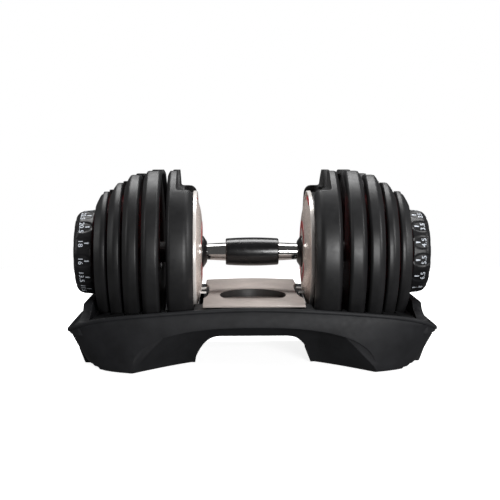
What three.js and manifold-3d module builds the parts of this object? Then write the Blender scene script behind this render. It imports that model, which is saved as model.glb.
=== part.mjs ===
// Adjustable dumbbell with its storage tray: a handle, two weight dials that turn coded selector
// discs, ten weight plates with open slots, and a moulded tray that holds them all.
//
// Millimetres, +Z up. The origin is on the floor under the middle of the tray, +X runs along the
// handle and -Y is the front. Each end of the dumbbell is the same set of parts, so an end is drawn
// once along +X and the left one is that end turned half a turn about Z.

import * as THREE from "three";
import { mergeVertices } from "three/addons/utils/BufferGeometryUtils.js";
import Module from "manifold-3d";

const wasm = await Module();
wasm.setup();

// ---------------------------------------------------------------------------------------------
// Driving dimensions

const GAP = 0.3; // between pieces that touch
const RUNNING_GAP = 0.4; // between a turning piece and what it turns on

// Handle
const GRIP_LENGTH = 62;
const GRIP_END_RADIUS = 15.5;
const GRIP_MID_RADIUS = 16.7;
const BARE_TUBE_LENGTH = 22; // chrome tube that shows at each side of the grip
const TUBE_END_RADIUS = 9.4;
const TUBE_MID_RADIUS = 10.6;
const ROD_RADIUS = 5;
const COLLAR_LENGTH = 5.6;
const COLLAR_SMALL_RADIUS = 12;
const COLLAR_BIG_RADIUS = 18.6;

// Domed cover at the inner side of each end, with its bezel and the lock behind it
const DOME_RADIUS = 68.8;
const DOME_DEPTH = 9.8;
const HOUSING_OVERLAP = 2.2; // how far the dome stands inside the largest plate
const DOME_CAVITY_CLEARANCE = 0.87; // round the corners of the lock yoke
const DOME_WALL = 1.6;
const BEZEL_WIDTH = 4.8;
const BEZEL_THICKNESS = 2.7;
const BACK_LIP = 1.2; // of the back plate, past the dome
const BACK_THICKNESS = 5;

// Selector shaft and discs
const SHAFT_RADIUS = 12;
const DISC_RADIUS = 66;
const OUTER_DISC_RADIUS = 52;
const DISC_THICKNESS = 1.8;
const FLANGE_INNER_RADIUS = 30;
const FLANGE_WIDTH = 4;
const DISC_GAP = 0.35; // from a plate to its disc, and from its web to the disc's flange
const FLANGE_CLEARANCE = 1.2; // each side of the flange on its way up out of a plate
const SETTINGS = 15; // positions of the dial, all the way round

// Weight plates, from the handle outwards. bevelOut and bevelIn are [width, drop in radius], and
// topBand is the part of the thickness that goes up past the discs, from the inner face.
// engaged lists the dial settings, 0 the lightest and 14 the heaviest, that pick the plate up.
const PLATES = [
  {
    number: 5,
    radius: 105,
    thickness: 29.2,
    topBand: [0, 26.6],
    web: 13,
    rim: 12,
    bevelOut: [3.5, 5],
    bevelIn: [7, 7],
    engaged: [6, 7, 8, 9, 10, 11, 12, 13, 14],
  },
  {
    number: 4,
    radius: 105,
    thickness: 19,
    topBand: [2.4, 14.8],
    web: 11,
    rim: 12,
    bevelOut: [4.5, 6],
    bevelIn: [2.4, 3],
    engaged: [10, 11, 12, 13, 14],
  },
  {
    number: 3,
    radius: 100,
    thickness: 17.5,
    topBand: [1.8, 11.2],
    web: 8.5,
    rim: 11,
    bevelOut: [6, 7],
    bevelIn: [2, 3],
    engaged: [4, 5, 9, 12, 13, 14],
  },
  {
    number: 2,
    radius: 90,
    thickness: 14,
    topBand: [0, 6.2],
    web: 5.6,
    rim: 10,
    bevelOut: [7, 6],
    bevelIn: [1.5, 2],
    engaged: [2, 3, 8, 11, 13, 14],
  },
  {
    number: 1,
    radius: 79,
    thickness: 13.5,
    topBand: [0.8, 6.2],
    web: 5.4,
    rim: 9,
    bevelOut: [8, 5],
    bevelIn: [1.5, 2],
    engaged: [1, 3, 5, 7, 14],
  },
];
const PLATE_GAPS = [7.5, 3.5, 3, 2.5]; // between neighbours, from the handle outwards
const FLAT_TOP_SHARE = 0.91; // height of a plate's flat top over its radius
const TOP_SLOPE = 2.2; // fall over width of the slopes beside the flat tops
const SLOT_HALF_WIDTH = 20.5;
const STEP_BELOW_TOP = 20; // the thick inner part of the largest plate stops this far down
const STEP_HORN_WIDTH = 10; // what stands above that step
const TAB_WIDTH = 14;
const TAB_HEIGHT = 7.5;
const TAB_CLEARANCE = 1; // under the tab, to the flange that lifts it

// Dial
const DIAL_GAP = 6; // from the last plate to the dial
const DIAL_WIDTH = 20.8;
const DIAL_RADIUS = 49.5;
const DIAL_TAPER = 1;
const DIAL_WALL = 3;
const DIAL_RECESS_RADIUS = 38.2;
const CAP_THICKNESS = 3;
const CAP_DEPTH = 3.5; // how far the cap is set in from the dial's end
const FINGER_BAR_WIDTH = 13;

// Lock that stops the dial while the dumbbell is off its tray
const LOCK_THICKNESS = 2.5;
const LOCK_TEETH = 60;
const LOCK_WHEEL_RADIUS = 24;
const LOCK_TOOTH_DEPTH = 2.5;
const LOCK_TRAVEL = 5;
const YOKE_CLEARANCE = 2; // beside the wheel, and above it at the end of the yoke's travel
const YOKE_SIDE_BAR = 5;
const YOKE_BAR = 4.5;
const PRONG_SPACING = 30;
const PRONG_WIDTH = 6;
const PRONG_THICKNESS = 4;
const FORK_BAR = 2.4;
const SPRING_RADIUS = 1.5;
const SPRING_WIRE = 0.6;
const SPRING_TURNS = 4;

// Tray
const PLATE_FLOOR_GAP = 20; // from the floor up to the largest plate
const WELL_CLEARANCE = 1.2; // round and beside each plate
const TRAY_WALL = 3;
const RIM_BELOW_AXLE = 50.5;
const RIM_WIDTH = 7.3;
const TIP_HEIGHT = 44.5; // of the rim at the two ends
const TIP_BEYOND_DIAL = 8.6;
const RIM_SLOPE_POWER = 1.6; // the rim falls gently at first, then fast near the tips
const RIM_END_POWER = 10;
const RIM_SQUARENESS = 5; // powers of the plan outlines
const BASE_SQUARENESS = 3.8;
const BASE_INSET = 24; // of the floor outline, at the two ends
const BASE_FLARE = 3.7; // of the floor outline, at the front and back
const TRAY_BOTTOM = 1.5;
const RIB_HEIGHT = 10; // of the ribs that stand between the plates
const ARCH_HALF_WIDTH = 66;
const ARCH_HEIGHT = 38.5;
const APRON_HALF_WIDTH = 134;
const APRON_HEIGHT = 53;
const APRON_DEPTH = 66; // at the floor beside the arch
const APRON_LEAN = 0.9; // depth lost over height
const APRON_STEP = 3.5;
const END_WALL_THICKNESS = 10;
const END_WALL_HALF_WIDTH = 80;
const END_WALL_FLAT_HALF_WIDTH = 43;
const END_WALL_BELOW_DIAL = 2;
const END_FOOT_HALF_WIDTH = 38; // the foot that stands out below each end
const END_FOOT_HEIGHT = 20;
const PANEL_RISE = 4; // of its front edge above the rim
const PANEL_SETBACK = 5; // from the front and back of the tray
const PANEL_THICKNESS = 4;
const PANEL_ARCH = 1.6; // rise of its top in the middle
const PANEL_WAIST = 5; // how far each side curves in beside the dome
const PANEL_WAIST_HALF_LENGTH = 56;
const DISH_RADIUS = 38;
const DISH_BACK_WALL = 7.5;
const CUP_WALL = 2.4;
const FOOT_RADIUS = 10;
const FOOT_THICKNESS = 2.7;
const SCREW_RADIUS = 2;
const SCREW_HEAD_RADIUS = 4;
const SCREW_LENGTH = 12;

// ---------------------------------------------------------------------------------------------
// Places worked out from them, along +X from the middle of the handle

const LARGEST_RADIUS = Math.max(...PLATES.map((p) => p.radius));
const AXLE_Z = PLATE_FLOOR_GAP + LARGEST_RADIUS;

const gripEnd = GRIP_LENGTH / 2;
const collarStart = gripEnd + BARE_TUBE_LENGTH;
const domeFace = collarStart + COLLAR_LENGTH;
const domeBack = domeFace + DOME_DEPTH;
const bezelRadius = DOME_RADIUS + GAP + BEZEL_THICKNESS;
const backRadius = DOME_RADIUS + BACK_LIP;
const lockFace = domeFace + DOME_WALL + 0.9;
const yokeWindowHalfWidth = LOCK_WHEEL_RADIUS + YOKE_CLEARANCE;
const yokeHalfWidth = yokeWindowHalfWidth + YOKE_SIDE_BAR;
const yokeWindowTop = LOCK_WHEEL_RADIUS + LOCK_TRAVEL + YOKE_CLEARANCE;
const yokeWindowBottom = -LOCK_WHEEL_RADIUS - 1;
const yokeTop = yokeWindowTop + YOKE_BAR;
const yokeBottom = yokeWindowBottom - YOKE_BAR;
const cavityRadius = Math.hypot(yokeHalfWidth, yokeTop) + DOME_CAVITY_CLEARANCE;

let reach = domeBack + 0.2 - HOUSING_OVERLAP;
PLATES.forEach((plate, i) => {
  plate.inside = reach;
  plate.outside = reach + plate.thickness;
  plate.flatTop = plate.radius * FLAT_TOP_SHARE;
  plate.bore = plate.radius - plate.rim;
  plate.top = plate.topBand.map((x) => plate.inside + x);
  plate.webOutside = plate.top[1];
  plate.discAt = plate.outside + DISC_GAP;
  reach = plate.outside + (PLATE_GAPS[i] ?? 0);
});
const largest = PLATES[0];
const last = PLATES[PLATES.length - 1];

const dialStart = last.outside + DIAL_GAP;
const dialEnd = dialStart + DIAL_WIDTH;
const rimZ = AXLE_Z - RIM_BELOW_AXLE;
const wellHalfDepth = Math.sqrt((LARGEST_RADIUS + WELL_CLEARANCE) ** 2 - RIM_BELOW_AXLE ** 2);
const trayHalfDepth = wellHalfDepth + RIM_WIDTH;
const trayHalfLength = dialEnd + TIP_BEYOND_DIAL;
const bridgeHalfWidth = domeFace - WELL_CLEARANCE;
const panelTop = rimZ + PANEL_RISE;
const endWallFace = dialStart - 0.5;
const endWallTop = AXLE_Z - DIAL_RADIUS - END_WALL_BELOW_DIAL;
const prongZ = AXLE_Z - 49;
const footPlaces = [-1, 1].flatMap((sx) =>
  [-1, 1].map((sy) => [sx * 0.69 * trayHalfLength, sy * 0.7 * trayHalfDepth]),
);

// ---------------------------------------------------------------------------------------------
// Solids: three.js makes the shapes, manifold-3d joins and cuts them

function solid(geometry) {
  const bare = geometry.index ? geometry.toNonIndexed() : geometry.clone();
  bare.deleteAttribute("normal");
  bare.deleteAttribute("uv");
  const merged = mergeVertices(bare, 1e-4);
  const make = (triVerts) =>
    new wasm.Manifold(
      new wasm.Mesh({
        numProp: 3,
        vertProperties: merged.attributes.position.array,
        triVerts,
      }),
    );
  const triVerts = new Uint32Array(merged.index.array);
  const made = make(triVerts);
  return made.volume() < 0 ? make(triVerts.reverse()) : made;
}

function geometryOf(body) {
  const { vertProperties, triVerts } = body.getMesh();
  const geometry = new THREE.BufferGeometry();
  geometry.setAttribute("position", new THREE.BufferAttribute(vertProperties, 3));
  geometry.setIndex(new THREE.BufferAttribute(triVerts, 1));
  geometry.computeVertexNormals();
  return geometry;
}

const join = (first, ...rest) => rest.reduce((a, b) => a.add(b), first);
const cut = (first, ...rest) => rest.reduce((a, b) => a.subtract(b), first);

// A box between two corners.
function box(low, high) {
  const size = high.map((h, i) => h - low[i]);
  const geometry = new THREE.BoxGeometry(...size);
  return solid(geometry.translate(...low.map((l, i) => l + size[i] / 2)));
}

// A closed profile of [radius, x] points turned about the X axis through the origin.
function turned(profile, segments = 40) {
  const points = [...profile, profile[0]].map(([r, x]) => new THREE.Vector2(r, x));
  const geometry = new THREE.LatheGeometry(points, segments);
  return solid(geometry.rotateZ(-Math.PI / 2).rotateX(Math.PI / segments));
}

// The same about the Z axis through (x, y), with [radius, z] points.
function turnedUpright(profile, x, y, segments = 16) {
  const points = [...profile, profile[0]].map(([r, z]) => new THREE.Vector2(r, z));
  const geometry = new THREE.LatheGeometry(points, segments);
  return solid(geometry.rotateX(Math.PI / 2).translate(x, y, 0));
}

const tube = (inner, outer, from, to, segments) =>
  turned([[inner, from], [outer, from], [outer, to], [inner, to]], segments);

const shapeOf = (points) => new THREE.Shape(points.map((p) => new THREE.Vector2(...p)));

// An outline of [x, z] points between two depths along Y.
function extrudedInY(points, from, to) {
  const options = { depth: to - from, bevelEnabled: false };
  const geometry = new THREE.ExtrudeGeometry(shapeOf(points), options);
  return solid(geometry.rotateX(Math.PI / 2).translate(0, to, 0));
}

// An outline of [y, z] points between two places along X.
function extrudedInX(points, from, to) {
  const options = { depth: to - from, bevelEnabled: false };
  const geometry = new THREE.ExtrudeGeometry(shapeOf(points), options);
  geometry.rotateX(Math.PI / 2).rotateZ(Math.PI / 2);
  return solid(geometry.translate(from, 0, 0));
}

// An outline of [x, y] points between two heights.
function extrudedInZ(points, from, to) {
  const options = { depth: to - from, bevelEnabled: false };
  const geometry = new THREE.ExtrudeGeometry(shapeOf(points), options);
  return solid(geometry.translate(0, 0, from));
}

// A round hole along the axle.
const rodBore = (radius) => turned([[0, 1], [radius, 1], [radius, dialEnd], [0, dialEnd]], 16);

// ---------------------------------------------------------------------------------------------
// Handle, on the axle through the origin

function gripSleeve() {
  const steps = 4;
  const outer = Array.from({ length: steps + 1 }, (_, i) => {
    const share = (2 * i) / steps - 1;
    const swell = (GRIP_MID_RADIUS - GRIP_END_RADIUS) * (1 - share * share);
    return [GRIP_END_RADIUS + swell, share * gripEnd];
  });
  const bore = TUBE_MID_RADIUS + GAP;
  return turned([[bore, -gripEnd], ...outer, [bore, gripEnd]], 28);
}

function handleTube() {
  const end = domeFace + DOME_WALL;
  const bore = ROD_RADIUS + RUNNING_GAP;
  const outer = [
    [TUBE_END_RADIUS, -end],
    [TUBE_END_RADIUS, -collarStart],
    [TUBE_MID_RADIUS, -gripEnd],
    [TUBE_MID_RADIUS, gripEnd],
    [TUBE_END_RADIUS, collarStart],
    [TUBE_END_RADIUS, end],
  ];
  return turned([[bore, -end], ...outer, [bore, end]], 28);
}

function axleRod() {
  const end = dialStart + DIAL_WALL + 7;
  return turned([[0, -end], [ROD_RADIUS, -end], [ROD_RADIUS, end], [0, end]], 16);
}

function collar() {
  const bore = TUBE_END_RADIUS + GAP;
  const end = domeFace - GAP;
  return turned(
    [
      [bore, collarStart],
      [COLLAR_SMALL_RADIUS, collarStart],
      [COLLAR_BIG_RADIUS, end - 1],
      [COLLAR_BIG_RADIUS, end],
      [bore, end],
    ],
    32,
  );
}

// Upright channels in the dome and bezel, open at the bottom, that let the unlock prongs in.
function prongChannels(from, to) {
  const half = PRONG_WIDTH / 2 + 1.5;
  const top = prongZ + PRONG_THICKNESS - AXLE_Z + LOCK_TRAVEL;
  return [-1, 1].map((side) => {
    const y = (side * PRONG_SPACING) / 2;
    return box([from, y - half, -bezelRadius - 5], [to, y + half, top]);
  });
}

function domeCover() {
  const rest = DOME_RADIUS - cavityRadius;
  const crown = [
    [0.85 * cavityRadius, domeFace],
    [cavityRadius, domeFace + 0.08 * DOME_DEPTH],
    [cavityRadius + 0.53 * rest, domeFace + 0.45 * DOME_DEPTH],
    [cavityRadius + 0.89 * rest, domeFace + 0.79 * DOME_DEPTH],
    [DOME_RADIUS, domeBack],
  ];
  const bore = TUBE_END_RADIUS + GAP;
  const shell = turned([
    [bore, domeFace],
    ...crown,
    [cavityRadius, domeBack],
    [cavityRadius, domeFace + DOME_WALL],
    [bore, domeFace + DOME_WALL],
  ], 36);
  return cut(shell, ...prongChannels(domeFace - 1, domeBack + 1));
}

// A ring round the dome, open at the bottom where the prongs come in.
function bezel() {
  const inner = DOME_RADIUS + GAP;
  const ring = tube(inner, bezelRadius, domeBack - BEZEL_WIDTH, domeBack);
  const half = PRONG_SPACING / 2 + PRONG_WIDTH / 2 + 1.5;
  return cut(ring, box([0, -half, -2 * bezelRadius], [domeBack + 1, half, 0]));
}

function backPlate() {
  const hole = SHAFT_RADIUS + RUNNING_GAP;
  return tube(hole, backRadius, domeBack + GAP, domeBack + GAP + BACK_THICKNESS, 32);
}

// ---------------------------------------------------------------------------------------------
// Lock: a yoke round a toothed wheel, held up by the tray's prongs and pushed down by a spring

function lockWheel() {
  const points = Array.from({ length: 2 * LOCK_TEETH }, (_, i) => {
    const angle = (i * Math.PI) / LOCK_TEETH;
    const radius = LOCK_WHEEL_RADIUS - (i % 2 ? 0 : LOCK_TOOTH_DEPTH);
    return [radius * Math.cos(angle), radius * Math.sin(angle)];
  });
  const wheel = extrudedInX(points, lockFace, lockFace + LOCK_THICKNESS);
  return cut(wheel, rodBore(ROD_RADIUS + RUNNING_GAP));
}

function lockYoke() {
  const slab = (y0, z0, y1, z1) =>
    box([lockFace, y0, z0], [lockFace + LOCK_THICKNESS, y1, z1]);
  const frame = cut(
    slab(-yokeHalfWidth, yokeBottom, yokeHalfWidth, yokeTop),
    box(
      [0, -yokeWindowHalfWidth, yokeWindowBottom],
      [domeBack, yokeWindowHalfWidth, yokeWindowTop],
    ),
  );
  const footZ = prongZ + PRONG_THICKNESS + GAP - AXLE_Z;
  const legs = [-1, 1].map((side) => {
    const y = (side * PRONG_SPACING) / 2;
    return slab(y - PRONG_WIDTH / 2, footZ, y + PRONG_WIDTH / 2, yokeBottom + 1);
  });
  // At the end of its travel the tooth sits in a notch, clear of the notch's flanks.
  const tip = LOCK_WHEEL_RADIUS - LOCK_TOOTH_DEPTH / 2 + LOCK_TRAVEL;
  const tooth = [
    [-0.25, tip],
    [0.25, tip],
    [0.8, tip + LOCK_TOOTH_DEPTH / 2],
    [0.8, yokeWindowTop + 1],
    [-0.8, yokeWindowTop + 1],
    [-0.8, tip + LOCK_TOOTH_DEPTH / 2],
  ];
  return join(frame, ...legs, extrudedInX(tooth, lockFace, lockFace + LOCK_THICKNESS));
}

class Helix extends THREE.Curve {
  constructor(radius, turns, from, to) {
    super();
    Object.assign(this, { radius, turns, from, to });
  }
  getPoint(t, target = new THREE.Vector3()) {
    const angle = 2 * Math.PI * this.turns * t;
    const x = lockFace + LOCK_THICKNESS / 2 + this.radius * Math.cos(angle);
    return target.set(x, this.radius * Math.sin(angle), this.from + t * (this.to - this.from));
  }
}

function lockSpring() {
  const from = yokeTop + GAP + SPRING_WIRE / 2;
  const to = cavityRadius - GAP - SPRING_WIRE;
  const wire = new THREE.Shape();
  wire.absarc(0, 0, SPRING_WIRE / 2, 0, 2 * Math.PI);
  return solid(
    new THREE.ExtrudeGeometry(wire, {
      steps: 6 * SPRING_TURNS,
      curveSegments: 3,
      extrudePath: new Helix(SPRING_RADIUS, SPRING_TURNS, from, to),
    }),
  );
}

// ---------------------------------------------------------------------------------------------
// Selector: a shaft that turns on the rod and carries a coded disc for each plate

function selectorShaft() {
  const from = lockFace + LOCK_THICKNESS + GAP;
  return tube(ROD_RADIUS + RUNNING_GAP, SHAFT_RADIUS, from, dialStart - GAP, 24);
}

// The runs of neighbouring settings at which a plate is picked up, as [first, how many].
function runsOf(settings) {
  const on = Array.from({ length: SETTINGS }, (_, i) => settings.includes(i));
  return settings
    .filter((s) => !on[(s + SETTINGS - 1) % SETTINGS])
    .map((first) => {
      let count = 1;
      while (count < SETTINGS && on[(first + count) % SETTINGS]) count += 1;
      return [first, count];
    });
}

// Under the axle at a setting is the part of the disc that lies this far round from its bottom.
function settingAngle(setting) {
  const heaviest = SETTINGS - 1;
  return ((setting - heaviest) * 2 * Math.PI) / SETTINGS;
}

function flangeArc([first, count], from, to) {
  const step = (2 * Math.PI) / SETTINGS;
  const start = settingAngle(first) - step / 2 + 0.02;
  const sweep = count * step - 0.04;
  const steps = Math.max(2, Math.ceil(sweep / 0.2));
  const arc = (radius) =>
    Array.from({ length: steps + 1 }, (_, i) => {
      const angle = start + (sweep * i) / steps;
      return [radius * Math.sin(angle), -radius * Math.cos(angle)];
    });
  const outer = arc(FLANGE_INNER_RADIUS + FLANGE_WIDTH);
  return extrudedInX([...arc(FLANGE_INNER_RADIUS), ...outer.reverse()], from, to);
}

function selectorDisc(plate) {
  const radius = plate === last ? OUTER_DISC_RADIUS : DISC_RADIUS;
  const at = plate.discAt;
  const disc = tube(SHAFT_RADIUS + GAP, radius, at, at + DISC_THICKNESS, 30);
  const from = plate.webOutside + DISC_GAP;
  const flanges = runsOf(plate.engaged).map((run) => flangeArc(run, from, at + 1));
  return join(disc, ...flanges);
}

// ---------------------------------------------------------------------------------------------
// Weight plates

function weightPlate(plate) {
  const { radius, inside, outside, bore, top, webOutside, web, flatTop } = plate;
  const [outWidth, outDrop] = plate.bevelOut;
  const [inWidth, inDrop] = plate.bevelIn;
  const body = turned(
    [
      [0, webOutside - web],
      [bore, webOutside - web],
      [bore, inside],
      [radius - inDrop, inside],
      [radius, inside + inWidth],
      [radius, outside - outWidth],
      [Math.max(radius - outDrop, bore + 0.5), outside],
      [bore, outside],
      [bore, webOutside],
      [0, webOutside],
    ],
    42,
  );
  const far = 2 * radius;
  const tabTop = FLANGE_INNER_RADIUS - TAB_CLEARANCE;
  const tab = box(
    [webOutside - 1, -TAB_WIDTH / 2, -tabTop],
    [outside, TAB_WIDTH / 2, -tabTop + TAB_HEIGHT],
  );
  const wayUp = FLANGE_INNER_RADIUS + FLANGE_WIDTH + FLANGE_CLEARANCE;
  const channel = box([top[1], -wayUp, 0], [outside + 1, wayUp, far]);
  const outSlope = [
    [top[1], flatTop + 0.1],
    [outside + 0.1, flatTop - TOP_SLOPE * (outside - top[1])],
    [outside + 1, flatTop + 1],
  ];
  const inSlope = [
    [top[0], flatTop + 0.1],
    [inside - 1, flatTop + 1],
    [inside - 0.1, flatTop - TOP_SLOPE * (top[0] - inside)],
  ];
  const besideTop = [channel, extrudedInY(outSlope, -far, far)];
  if (top[0] > inside) besideTop.push(extrudedInY(inSlope, -far, far));
  const flat = box([inside - 1, -far, flatTop], [outside + 1, far, far]);
  const slot = join(
    box([inside - 1, -SLOT_HALF_WIDTH, 0], [outside + 1, SLOT_HALF_WIDTH, far]),
    turned(
      [[0, inside - 1], [SLOT_HALF_WIDTH, inside - 1], [SLOT_HALF_WIDTH, outside + 1], [0, outside + 1]],
      20,
    ),
  );
  return cut(join(body, tab), flat, slot, ...besideTop);
}

// The thick inner part of the largest plate stops below its flat top.
function largestPlate() {
  const far = 2 * LARGEST_RADIUS;
  const stepTop = largest.flatTop - STEP_BELOW_TOP;
  const step = box(
    [largest.inside - 1, -far, stepTop],
    [largest.outside - STEP_HORN_WIDTH, far, far],
  );
  return cut(weightPlate(largest), step);
}

// ---------------------------------------------------------------------------------------------
// Dial, its cap and the nut on the rod

function dial() {
  const tip = DIAL_RADIUS - DIAL_TAPER;
  const bore = ROD_RADIUS + RUNNING_GAP;
  return turned(
    [
      [bore, dialStart],
      [DIAL_RADIUS, dialStart],
      [tip, dialEnd - 6.5],
      [tip - 2.4, dialEnd - 2],
      [tip - 5, dialEnd],
      [DIAL_RECESS_RADIUS + 1.5, dialEnd],
      [DIAL_RECESS_RADIUS, dialEnd - 1.5],
      [DIAL_RECESS_RADIUS, dialStart + DIAL_WALL],
      [bore, dialStart + DIAL_WALL],
    ],
    30,
  );
}

function dialCap() {
  const radius = DIAL_RECESS_RADIUS - GAP;
  const top = dialEnd - CAP_DEPTH;
  const disc = turned(
    [[0, top - CAP_THICKNESS], [radius, top - CAP_THICKNESS], [radius, top], [0, top]],
    36,
  );
  const half = FINGER_BAR_WIDTH / 2;
  const length = Math.sqrt(radius ** 2 - half ** 2) - 0.5;
  return join(disc, box([top - 1, -half, -length], [dialEnd, half, length]));
}

function rodNut() {
  const from = dialStart + DIAL_WALL + GAP;
  const block = turned([[0, from], [9, from], [9, from + 5], [0, from + 5]], 6);
  return cut(block, rodBore(ROD_RADIUS + GAP));
}

// ---------------------------------------------------------------------------------------------
// Tray

function rimHeightAt(x) {
  const share = Math.min(1, Math.abs(x) / trayHalfLength);
  return rimZ - ((rimZ - TIP_HEIGHT) / 2) * (share ** RIM_SLOPE_POWER + share ** RIM_END_POWER);
}

// Where the points of an outline lie along X, as shares of its half length.
const OUTLINE_SHARES = [0, 0.18, 0.34, 0.5, 0.63, 0.74, 0.83, 0.9, 0.95, 0.982, 0.996, 1];

// A superellipse with these half sizes, as [x, y] points that start at +X.
function superellipse(halfX, halfY, power) {
  const quarter = OUTLINE_SHARES.map((s) => [s * halfX, halfY * (1 - s ** power) ** (1 / power)]);
  const back = [...quarter.slice(1).reverse(), ...quarter.map(([x, y]) => [-x, y])];
  const front = back.slice(1, -1).map(([x, y]) => [x, -y]);
  return [...back, ...front.reverse()];
}

// The outer form: rings of [x, y, z] points from the floor up to the curved rim, closed by strips
// from the front to the back.
function lofted(rings) {
  const count = rings[0].length;
  const triangles = [];
  const quad = (a, b, c, d) => triangles.push(a, b, c, a, c, d);
  rings.slice(1).forEach((upper, k) =>
    upper.forEach((point, i) => {
      const j = (i + 1) % count;
      quad(rings[k][i], rings[k][j], upper[j], point);
    }),
  );
  const strips = (ring, up) => {
    for (let i = 0; i < count / 2; i += 1) {
      const [a, b] = [ring[i], ring[i + 1]];
      const [c, d] = [ring[(count - i - 1) % count], ring[(count - i) % count]];
      if (i > 0) triangles.push(...(up ? [a, c, d] : [a, d, c]));
      if (i < count / 2 - 1) triangles.push(...(up ? [a, b, c] : [a, c, b]));
    }
  };
  strips(rings[0], false);
  strips(rings[rings.length - 1], true);
  const geometry = new THREE.BufferGeometry();
  geometry.setAttribute("position", new THREE.Float32BufferAttribute(triangles.flat(), 3));
  return solid(geometry);
}

// The tray's outer form, or the same taken in all round by a wall.
function trayForm(inset, bottom) {
  const length = trayHalfLength - inset;
  const depth = trayHalfDepth - inset;
  const floor = superellipse(length - BASE_INSET, depth + BASE_FLARE, BASE_SQUARENESS);
  const rim = superellipse(length, depth, RIM_SQUARENESS);
  return lofted([
    floor.map(([x, y]) => [x, y, bottom]),
    rim.map(([x, y]) => [x, y, rimHeightAt(x) - inset]),
  ]);
}

// The space for the plates at one end, turned about the axle, with ribs left between them.
function well() {
  const side = WELL_CLEARANCE / 2;
  const first = largest.inside - side;
  const steps = [[bridgeHalfWidth, first, bezelRadius + WELL_CLEARANCE]];
  PLATES.forEach((plate, i) => {
    const next = PLATES[i + 1];
    steps.push([plate.inside - side, plate.outside + side, plate.radius + WELL_CLEARANCE]);
    if (next) steps.push([plate.outside + side, next.inside - side, next.radius - RIB_HEIGHT]);
  });
  const profile = steps.flatMap(([from, to, radius]) => [[radius, from], [radius, to]]);
  return turned([[0, bridgeHalfWidth], ...profile, [0, last.outside + side]], 40);
}

// The same space with the tray's wall all round it, ribs and all.
function wellWithWalls() {
  const side = WELL_CLEARANCE / 2 + TRAY_WALL;
  const drums = PLATES.map((plate, i) => {
    const radius = plate.radius + WELL_CLEARANCE + TRAY_WALL;
    const to = PLATES[i + 1] ? PLATES[i + 1].inside : plate.outside + side;
    return turned([[0, plate.inside - side], [radius, plate.inside - side], [radius, to], [0, to]], 40);
  });
  return join(...drums);
}

const atAxle = (body) => body.translate([0, 0, AXLE_Z]);
const turnedRound = (body) => body.rotate([0, 0, 180]);
const bothEnds = (body) => body.add(turnedRound(body));

// The opening under the bridge, right through from front to back. grow adds a wall round it.
function archOutline(grow = 0) {
  const side = [
    [ARCH_HALF_WIDTH + 1 + grow, -10],
    [ARCH_HALF_WIDTH + grow, 0.2 * ARCH_HEIGHT],
    [0.94 * ARCH_HALF_WIDTH + grow, 0.47 * ARCH_HEIGHT],
    [0.84 * ARCH_HALF_WIDTH + grow, 0.76 * ARCH_HEIGHT + grow / 2],
    [0.73 * ARCH_HALF_WIDTH + grow, 0.94 * ARCH_HEIGHT + grow],
    [0.61 * ARCH_HALF_WIDTH, ARCH_HEIGHT + grow],
  ];
  return [...side, ...side.map(([x, z]) => [-x, z]).reverse()];
}

// The arched hollow pressed into the front: a step all along the arch, and behind it a face that
// leans forward from a deep foot beside the opening. grow adds a wall behind it.
function apronHollow(grow = 0) {
  const arch = superellipse(APRON_HALF_WIDTH + grow, APRON_HEIGHT + grow, 2.6);
  const front = -trayHalfDepth - 30;
  const face = -trayHalfDepth - BASE_FLARE;
  const half = [
    [1.03 * APRON_HALF_WIDTH + grow, 0.12 * APRON_DEPTH],
    [0.92 * APRON_HALF_WIDTH + grow, 0.33 * APRON_DEPTH + grow],
    [0.8 * APRON_HALF_WIDTH + grow, 0.57 * APRON_DEPTH + grow],
    [0.66 * APRON_HALF_WIDTH + grow, 0.84 * APRON_DEPTH + grow],
    [0.53 * APRON_HALF_WIDTH + grow, APRON_DEPTH + grow],
  ].map(([x, depth]) => [x, face + depth]);
  const plan = [
    [1.03 * APRON_HALF_WIDTH + grow, front],
    ...half,
    ...half.map(([x, y]) => [-x, y]).reverse(),
    [-1.03 * APRON_HALF_WIDTH - grow, front],
  ];
  const leaning = extrudedInZ(plan, -10, APRON_HEIGHT + 10).transform(
    new THREE.Matrix4().makeShear(0, 0, 0, 0, 0, -APRON_LEAN).elements,
  );
  const step = box([-500, front, -10], [500, -trayHalfDepth + APRON_STEP + grow, 100]);
  return extrudedInY(arch, front, 0).intersect(join(leaning, step));
}

// A raised wall under each dial that keeps the last plate in. It runs down into the rim.
function endWall() {
  const low = TIP_HEIGHT - 3;
  const outer = endWallFace + END_WALL_THICKNESS;
  const section = [
    [endWallFace, low],
    [outer + 13, low],
    [outer + 13, TIP_HEIGHT + 1],
    [outer + 2, TIP_HEIGHT + 10],
    [outer, TIP_HEIGHT + 15],
    [outer, endWallTop - 4],
    [outer - 4, endWallTop],
    [endWallFace, endWallTop],
  ];
  const half = [
    [END_WALL_HALF_WIDTH, low],
    [END_WALL_HALF_WIDTH, endWallTop - 18],
    [END_WALL_FLAT_HALF_WIDTH + 20, endWallTop - 12.5],
    [END_WALL_FLAT_HALF_WIDTH + 10, endWallTop - 8.5],
    [END_WALL_FLAT_HALF_WIDTH + 5, endWallTop - 2.5],
    [END_WALL_FLAT_HALF_WIDTH, endWallTop],
  ];
  const face = [...half, ...half.map(([y, z]) => [-y, z]).reverse()];
  const plan = superellipse(trayHalfLength - 1.5, trayHalfDepth - 1.5, RIM_SQUARENESS);
  const slab = extrudedInY(section, -END_WALL_HALF_WIDTH, END_WALL_HALF_WIDTH);
  const outlined = slab.intersect(extrudedInX(face, endWallFace - 1, outer + 14));
  return outlined.intersect(extrudedInZ(plan, 0, AXLE_Z));
}

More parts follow.
